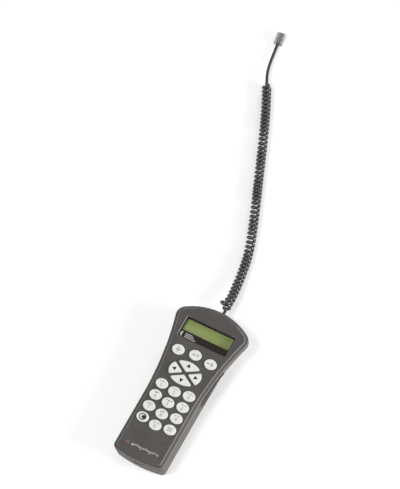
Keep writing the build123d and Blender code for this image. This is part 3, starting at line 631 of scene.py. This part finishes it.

# --------------------------------------------------------------- case shells
# Two mouldings in dark warm grey plastic with a fine spark-eroded texture,
# screwed together from the back. The rims, the creased edge round the face and
# the edge just above the seam are painted lighter as painted highlights, the
# seam itself is painted near black as painted shade, the flanks below the seam
# turn lighter and browner in clouds, and dust clouds the flat.
case_grey = (0.080, 0.075, 0.071)
case_light = (0.106, 0.098, 0.093)
case_highlight = (0.33, 0.32, 0.305)
case_flank_tone = (0.112, 0.107, 0.101)
case_finish = Finish("case_plastic", case_grey, 0.5, Specular_IOR_Level=0.45)
patches = case_finish.noise(38, 3)
grain = case_finish.noise(2600, 2)
highlight_breakup = case_finish.noise(240, 3, (1, 0.25, 1)).step(0.55, 0.75)
# painted highlights: a band along the rims and a thin line round the creased edge of the face
rim_highlight = case_finish.z.band(face_z - 0.0032, face_z - 0.0025, 0.0005)
crease_highlight = case_finish.z.band(face_z - 0.0004, face_z - 0.00006, 0.00005)
outside = abs(case_finish.x).step(0.024, 0.027)
seam_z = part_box("rear_shell")[1][2]
# a painted highlight along the edge just above the seam
seam_edge_highlight = case_finish.z.band(seam_z - 0.0012, seam_z - 0.0005, 0.0003)
# painted shade in the seam between the shells
seam_shade = case_finish.z.band(seam_z - 0.0004, seam_z + 0.0003, 0.00006)
flank = 1 - case_finish.z.step(seam_z - 0.001, seam_z)
moulded = case_finish.blend(patches.step(0.35, 0.7) * 0.5 + grain.step(0.3, 0.8) * 0.35,
                            case_grey, case_light)
moulded = case_finish.blend(flank * (0.35 + patches * 0.5), moulded, case_flank_tone)
# the rims, the creased edge and the edge above the seam are lightened as painted highlights, broken up by
# streaky noise
painted_highlights = rim_highlight * (0.4 + highlight_breakup * 0.35) + crease_highlight * outside * (0.75 + highlight_breakup * 0.25) + seam_edge_highlight * 0.35
highlighted = case_finish.blend(painted_highlights, moulded, case_highlight)
# the seam is painted near black over everything else: painted shade
case_finish.colour(case_finish.blend(seam_shade, highlighted, (0.012, 0.011, 0.010)))
case_finish.rough(0.47 + patches * 0.08 + grain * 0.08 - rim_highlight * 0.14)
case_finish.bump(grain, 0.00006, 0.5)
case_finish.paint("front_shell", "rear_shell")

# the window's opening is framed by a narrow slope down to the acrylic
slope_width = 0.0010
opening_gap = 0.0001
opening_corner = 0.0016
slope_wall = 0.0003
start_clean()
bpy.ops.mesh.primitive_plane_add(size=1)
surround = bpy.context.object
surround.name = "window_surround"
opening_width = lens_high[0] - lens_low[0] + 2 * opening_gap
opening_height = lens_high[1] - lens_low[1] + 2 * opening_gap
surround.scale = (opening_width, opening_height, 1)
surround.location = (0, (lens_low[1] + lens_high[1]) / 2, face_z - opening_gap / 2)
settle(surround)
bpy.ops.object.mode_set(mode="EDIT")
bpy.ops.mesh.select_all(action="SELECT")
bpy.ops.mesh.bevel(offset=opening_corner, segments=4, affect="VERTICES")
bpy.ops.mesh.inset(thickness=slope_width)
bpy.ops.transform.translate(value=(0, 0, lens_high[2] - face_z + opening_gap))
bpy.ops.mesh.delete(type="FACE")
bpy.ops.object.mode_set(mode="OBJECT")
wall = surround.modifiers.new("wall", "SOLIDIFY")
wall.thickness = slope_wall
wall.offset = -1
bpy.ops.object.modifier_apply(modifier=wall.name)
surround.data.materials.append(case_finish.material)
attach(surround, "case")

white_ink = Finish("white_ink", (0.72, 0.72, 0.70), 0.45)
white_grain = white_ink.noise(3000, 2)
white_ink.colour(white_ink.blend(white_grain, (0.64, 0.64, 0.62), (0.80, 0.80, 0.78)))
white_ink.rough(0.4 + white_grain * 0.15)
orange_ink = Finish("orange_ink", (0.36, 0.13, 0.06), 0.45)
orange_grain = orange_ink.noise(2500, 2)
orange_ink.colour(orange_ink.blend(orange_grain, (0.29, 0.10, 0.045), (0.42, 0.17, 0.08)))
orange_ink.rough(0.4 + orange_grain * 0.15)

# A row of stars joined by lines, printed low on the face, after a small sun.
mark_y = -0.0852
star_line = 0.0009
star_places = [(-0.0115, -0.0006), (-0.0065, 0.0008), (-0.0010, -0.0008), (0.0045, 0.0006),
               (0.0100, -0.0007), (0.0155, 0.0009), (0.0195, 0.0002)]
star_sizes = [0.0046, 0.0036, 0.0044, 0.0034, 0.0046, 0.0036, 0.0032]
stars = [ink("star", x, y, size, size) for (x, y), size in zip(star_places, star_sizes)]
for (x0, y0), (x1, y1) in zip(star_places, star_places[1:]):
    line_turn = math.degrees(math.atan2(y1 - y0, x1 - x0))
    line_length = math.dist((x0, y0), (x1, y1))
    stars.append(ink("bar", (x0 + x1) / 2, (y0 + y1) / 2, line_length, star_line, line_turn))
print_on("face_mark", stars, (0, mark_y, face_z), white_ink, "case")

sun_x = -0.0182
sun_width = 0.0026
ray_reach = 0.0021
ray_length = 0.0010
ray_width = 0.0005
sun = [ink("disc", 0, 0, sun_width, sun_width)]
for turn in range(0, 360, 45):
    ray_x = ray_reach * math.cos(math.radians(turn))
    ray_y = ray_reach * math.sin(math.radians(turn))
    sun.append(ink("bar", ray_x, ray_y, ray_length, ray_width, turn))
print_on("face_sun", sun, (sun_x, mark_y, face_z), orange_ink, "case")

# --------------------------------------------------------------- side grips
# Soft black rubber pads on the flanks, with fine ribs across them. Dust greys
# the rubber in clouds, the rib tops are painted lighter as a painted highlight,
# and the grooves between them are painted near black as painted shade.
rib_pitch = 0.0025
rib_groove = 0.0010
plain_border = 0.0020
grip_low, grip_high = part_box("left_grip")
rib_count = int((grip_high[1] - grip_low[1] - 2 * plain_border) / rib_pitch)
first_groove = (grip_low[1] + grip_high[1] - (rib_count - 1) * rib_pitch) / 2
grip_black = (0.045, 0.042, 0.041)
grip_grey = (0.062, 0.058, 0.056)
grip_rib_highlight = (0.125, 0.118, 0.113)
grip_finish = Finish("grip_rubber", grip_black, 0.62, Specular_IOR_Level=0.4)
grip_dust = grip_finish.noise(60, 3).step(0.35, 0.75)
grip_grain = grip_finish.noise(1900, 2)
from_groove = (grip_finish.y - first_groove + rib_pitch / 2) % rib_pitch
groove_half = 0.45 * rib_groove
shaded_groove = from_groove.band(rib_pitch / 2 - groove_half, rib_pitch / 2 + groove_half, 0.0001)
shaded_groove = shaded_groove * grip_finish.y.band(grip_low[1] + plain_border, grip_high[1] - plain_border, 0.0002)
# the rib tops are painted lighter: a painted highlight
rib_highlight_mask = 1 - shaded_groove
rubber = grip_finish.blend(grip_dust * 0.6 + grip_grain * 0.3, grip_black, grip_grey)
rubber = grip_finish.blend(rib_highlight_mask * (0.25 + grip_grain * 0.2), rubber, grip_rib_highlight)
# the grooves between the ribs are painted near black: painted shade
grip_finish.colour(grip_finish.blend(shaded_groove * 0.8, rubber, (0.012, 0.011, 0.011)))
grip_finish.rough(0.55 + grip_dust * 0.1 + shaded_groove * 0.2)
grip_finish.bump(grip_grain, 0.00005, 0.6)
grip_finish.paint("left_grip", "right_grip")

# --------------------------------------------------------------- back
# A satin film label sits in a shallow bed, with a ruled border and blank
# fields. Four cross-head screws, blackened and oiled, hold the shells, and
# six more hold the board.
label_low, label_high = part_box("rear_label")
label_y = (label_low[1] + label_high[1]) / 2
border_x = (0.0205, 0.0208)
border_y = (0.0105, 0.0108)
field_pitch = 0.0046
field_start = 0.02
field_rule = (0.0020, 0.0022)
field_half_x = 0.0175
field_half_y = 0.0095
rule_soft = 0.00005
label_finish = Finish("label_film", (0.33, 0.33, 0.32), 0.4)
off_x = abs(label_finish.x)
off_y = label_finish.y - label_y
frame_line = off_x.band(*border_x, rule_soft) * (abs(off_y) < border_y[1])
frame_line = frame_line + abs(off_y).band(*border_y, rule_soft) * (off_x < border_x[1])
fields = ((off_y + field_start) % field_pitch).band(*field_rule, rule_soft)
fields = fields * (off_x < field_half_x) * (abs(off_y) < field_half_y)
label_cloud = label_finish.noise(80, 3)
film = label_finish.blend(label_cloud, (0.30, 0.30, 0.29), (0.37, 0.37, 0.36))
label_finish.colour(label_finish.blend((frame_line + fields) * 0.85, film, (0.04, 0.04, 0.04)))
label_finish.rough(0.34 + label_cloud * 0.12)
label_finish.bump(label_finish.noise(1400, 1), 0.00001, 0.5)
label_finish.paint("rear_label")

screw_finish = Finish("screw_steel", (0.11, 0.11, 0.115), 0.32, Metallic=1.0)
screw_wear = screw_finish.noise(700, 3)
screw_finish.colour(screw_finish.blend(screw_wear.step(0.45, 0.7), (0.10, 0.10, 0.105), (0.26, 0.26, 0.26)))
screw_finish.rough(0.26 + screw_wear * 0.22)
screw_finish.bump(screw_finish.noise(2600), 0.00001, 0.5)
screw_finish.paint("case_screws", "board_screws")

# --------------------------------------------------------------- plugs
# Six-way modular plugs in clear polycarbonate. Six coloured wires run from
# the cord's jacket to the blades, and a springy arm under each plug latches.
plug_clear = (0.80, 0.82, 0.82)
plug_finish = Finish("plug_plastic", plug_clear, 0.08, IOR=1.58, Transmission_Weight=0.85)
plug_haze = plug_finish.noise(260, 3)
plug_finish.rough(0.06 + plug_haze.step(0.4, 0.8) * 0.18)
plug_finish.colour(plug_finish.blend(plug_haze, plug_clear, (0.70, 0.73, 0.73)))
plug_finish.paint("handset_plug", "handset_plug_latch", "mount_plug", "mount_plug_latch")

cord_finish = Finish("cord_jacket", (0.045, 0.042, 0.041), 0.18, Specular_IOR_Level=0.85)
jacket_cloud = cord_finish.noise(180, 3)
jacket_grain = cord_finish.noise(3200, 2)
cord_finish.colour(cord_finish.blend(jacket_cloud, (0.036, 0.034, 0.033), (0.066, 0.062, 0.060)))
cord_finish.rough(0.13 + jacket_cloud * 0.12)
cord_finish.bump(jacket_grain, 0.00002, 0.3)

wire_colours = {
    "white": (0.75, 0.75, 0.72), "black": (0.02, 0.02, 0.02), "red": (0.50, 0.03, 0.02),
    "green": (0.03, 0.28, 0.06), "yellow": (0.65, 0.50, 0.04), "blue": (0.03, 0.10, 0.42),
}
# the places along a plug are measured from its rear face, and are negative inside it
conductor_pitch = 0.00102
conductor_radius = 0.00042
conductor_rise = 0.00035
conductor_nose = -0.0142
conductor_bend = -0.0068
conductor_root = -0.0046
conductor_gather = 0.12
jacket_radius = 0.0019
jacket_start = -0.0001
jacket_end = -0.0052
jacket_half_width = 0.0029
jacket_flatness = 0.62
# where each plug's rear face is, the way the cord leaves it, and its blades' side
plug_places = {
    "handset": (Vector((0, 0.1024, 0.0129)), Vector((0, 1, 0)), Vector((0, 0, 1))),
    "mount": (Vector((-0.113, 0.450, 0.0034)), Vector((0.002, -0.014, 0)).normalized(),
              Vector((0, 0, -1))),
}
conductor_finishes = {}
for colour_name, colour in wire_colours.items():
    insulation = Finish("insulation_" + colour_name, colour, 0.35)
    insulation_cloud = insulation.noise(900, 2)
    shade = tuple(0.7 * value for value in colour)
    insulation.colour(insulation.blend(insulation_cloud * 0.6, colour, shade))
    insulation.rough(0.3 + insulation_cloud * 0.15)
    conductor_finishes[colour_name] = insulation


def round_bar(name, radius, start, end, across, rise, sides):
    """A bar along Y, with the cap at its start left selected in edit mode."""
    start_clean()
    bpy.ops.mesh.primitive_cylinder_add(
        vertices=sides, radius=radius, depth=abs(end - start),
        location=(across, (start + end) / 2, rise), rotation=(math.pi / 2, 0, 0))
    bar = bpy.context.object
    bar.name = name
    settle(bar)
    near = max(start, end) - 0.00001
    for face in bar.data.polygons:
        face.select = False
    for edge in bar.data.edges:
        edge.select = False
    for vertex in bar.data.vertices:
        vertex.select = vertex.co.y > near
    bpy.ops.object.mode_set(mode="EDIT")
    bpy.ops.mesh.select_mode(type="VERT")
    return bar


def fit_in_plug(piece, plug, finish):
    rear, way, up = plug_places[plug]
    bpy.ops.object.mode_set(mode="OBJECT")
    bpy.ops.object.shade_smooth_by_angle(angle=math.radians(40))
    piece.matrix_world = Matrix((way.cross(up), way, up)).transposed().to_4x4()
    piece.location = rear
    settle(piece)
    piece.data.materials.append(finish.material)
    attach(piece, "case")


for plug in plug_places:
    # the jacket's end, pressed flat under the clamp
    stub = round_bar(plug + "_jacket_end", jacket_radius, jacket_start, jacket_end, 0, 0, 24)
    bpy.ops.mesh.select_all(action="INVERT")
    bpy.ops.transform.resize(value=(jacket_half_width / jacket_radius, 1, jacket_flatness),
                             center_override=(0, 0, 0))
    fit_in_plug(stub, plug, cord_finish)
    for index, colour_name in enumerate(wire_colours):
        across = (index - (len(wire_colours) - 1) / 2) * conductor_pitch
        strand = round_bar(f"{plug}_wire_{colour_name}", conductor_radius, conductor_bend, conductor_nose,
                           across, conductor_rise, 10)
        bpy.ops.mesh.extrude_region_move(TRANSFORM_OT_translate={
            "value": (-across * conductor_gather, conductor_root - conductor_bend, -conductor_rise)})
        fit_in_plug(strand, plug, conductor_finishes[colour_name])

# --------------------------------------------------------------- curly cord
# Round cable in a glossy jacket: it leaves the handset's plug, turns at once
# into a long close coil, and ends in a short straight lead to the plug that
# goes into the mount.
tail_route = [(0, 102.4, 12.9), (0, 105, 12.9)]
coil_route = [
    (-0.24, 107.58, 12.76), (-1.68, 123.06, 11.92), (-3.7, 140, 9.2), (-6.8, 161, 6.8),
    (-12, 188, 6.3), (-23, 218, 6.3), (-34, 246, 6.3), (-46, 275, 6.3),
    (-59, 307, 6.3), (-73, 341, 6.3), (-86, 370, 6.3), (-99, 396, 6.3),
]
lead_route = [(-104.5, 407, 6.3), (-108.5, 421, 4.6), (-111, 436, 3.4), (-113, 450, 3.4)]
wire_radius = jacket_radius
helix_radius = 0.0062 - wire_radius
coil_turns = 57
turn_points = 12
lead_in = 16              # points over which the first and last turns open out
slack_at = 20             # the point in the middle of the slack first loop
slack_spread = 9
slack_growth = 0.0016
slack_shift = 0.0027


def smooth_curve(name, points, radius):
    data = bpy.data.curves.new(name, "CURVE")
    data.dimensions = "3D"
    spline = data.splines.new("NURBS")
    spline.points.add(len(points) - 1)
    for point, place in zip(spline.points, points):
        point.co = (*place, 1)
    spline.order_u = 3
    spline.use_endpoint_u = True
    data.resolution_u = 4
    data.bevel_depth = radius
    data.bevel_resolution = 3
    data.use_fill_caps = True
    curve = bpy.data.objects.new(name, data)
    bpy.context.scene.collection.objects.link(curve)
    return curve


def read_line(points):
    """The places along the smooth line that a route's points control."""
    guide = smooth_curve("guide", points, 0)
    guide.data.resolution_u = 24
    bpy.context.view_layer.update()
    line = bpy.data.meshes.new_from_object(guide)
    places = [vertex.co.copy() for vertex in line.vertices]
    bpy.data.meshes.remove(line)
    bpy.data.objects.remove(guide)
    return places


def in_metres(route):
    return [Vector(point) / 1000 for point in route]


axis_line = read_line(in_metres(coil_route))
reach = [0.0]
for before, after in zip(axis_line, axis_line[1:]):
    reach.append(reach[-1] + (after - before).length)


def along_axis(distance):
    for index in range(1, len(reach)):
        if reach[index] >= distance or index == len(reach) - 1:
            share = (distance - reach[index - 1]) / (reach[index] - reach[index - 1])
            place = axis_line[index - 1].lerp(axis_line[index], share)
            return place, (axis_line[index] - axis_line[index - 1]).normalized()


# The turns are a little uneven: some stand closer together than others.
helix = []
steps = coil_turns * turn_points
for step in range(steps + 1):
    share = step / steps
    uneven = 0.0016 * math.sin(17.3 * share) + 0.0009 * math.sin(41.7 * share)
    uneven *= math.sin(math.pi * share)
    place, way = along_axis(share * reach[-1] + uneven)
    side = way.cross(Vector((0, 0, 1))).normalized()
    rise = side.cross(way)
    angle = 2 * math.pi * coil_turns * share
    opening = min(1, step / lead_in, (steps - step) / lead_in)
    opening = opening * opening * (3 - 2 * opening)
    slack = math.exp(-((step - slack_at) / slack_spread) ** 2)
    outward = side * math.sin(angle) - rise * math.cos(angle)
    ring = outward * (helix_radius + slack_growth * slack) * opening
    helix.append(place + ring - side * slack_shift * slack)

wire_points = in_metres(tail_route) + helix + in_metres(lead_route)
cord = smooth_curve("curly_cord", wire_points, wire_radius)
cord.data.materials.append(cord_finish.material)
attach(cord, "case")
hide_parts("cord_tail", "cord_coil", "cord_lead")


def length_along(points):
    return sum((after - before).length for before, after in zip(points, points[1:]))


round(length_along(read_line(wire_points)), 3)
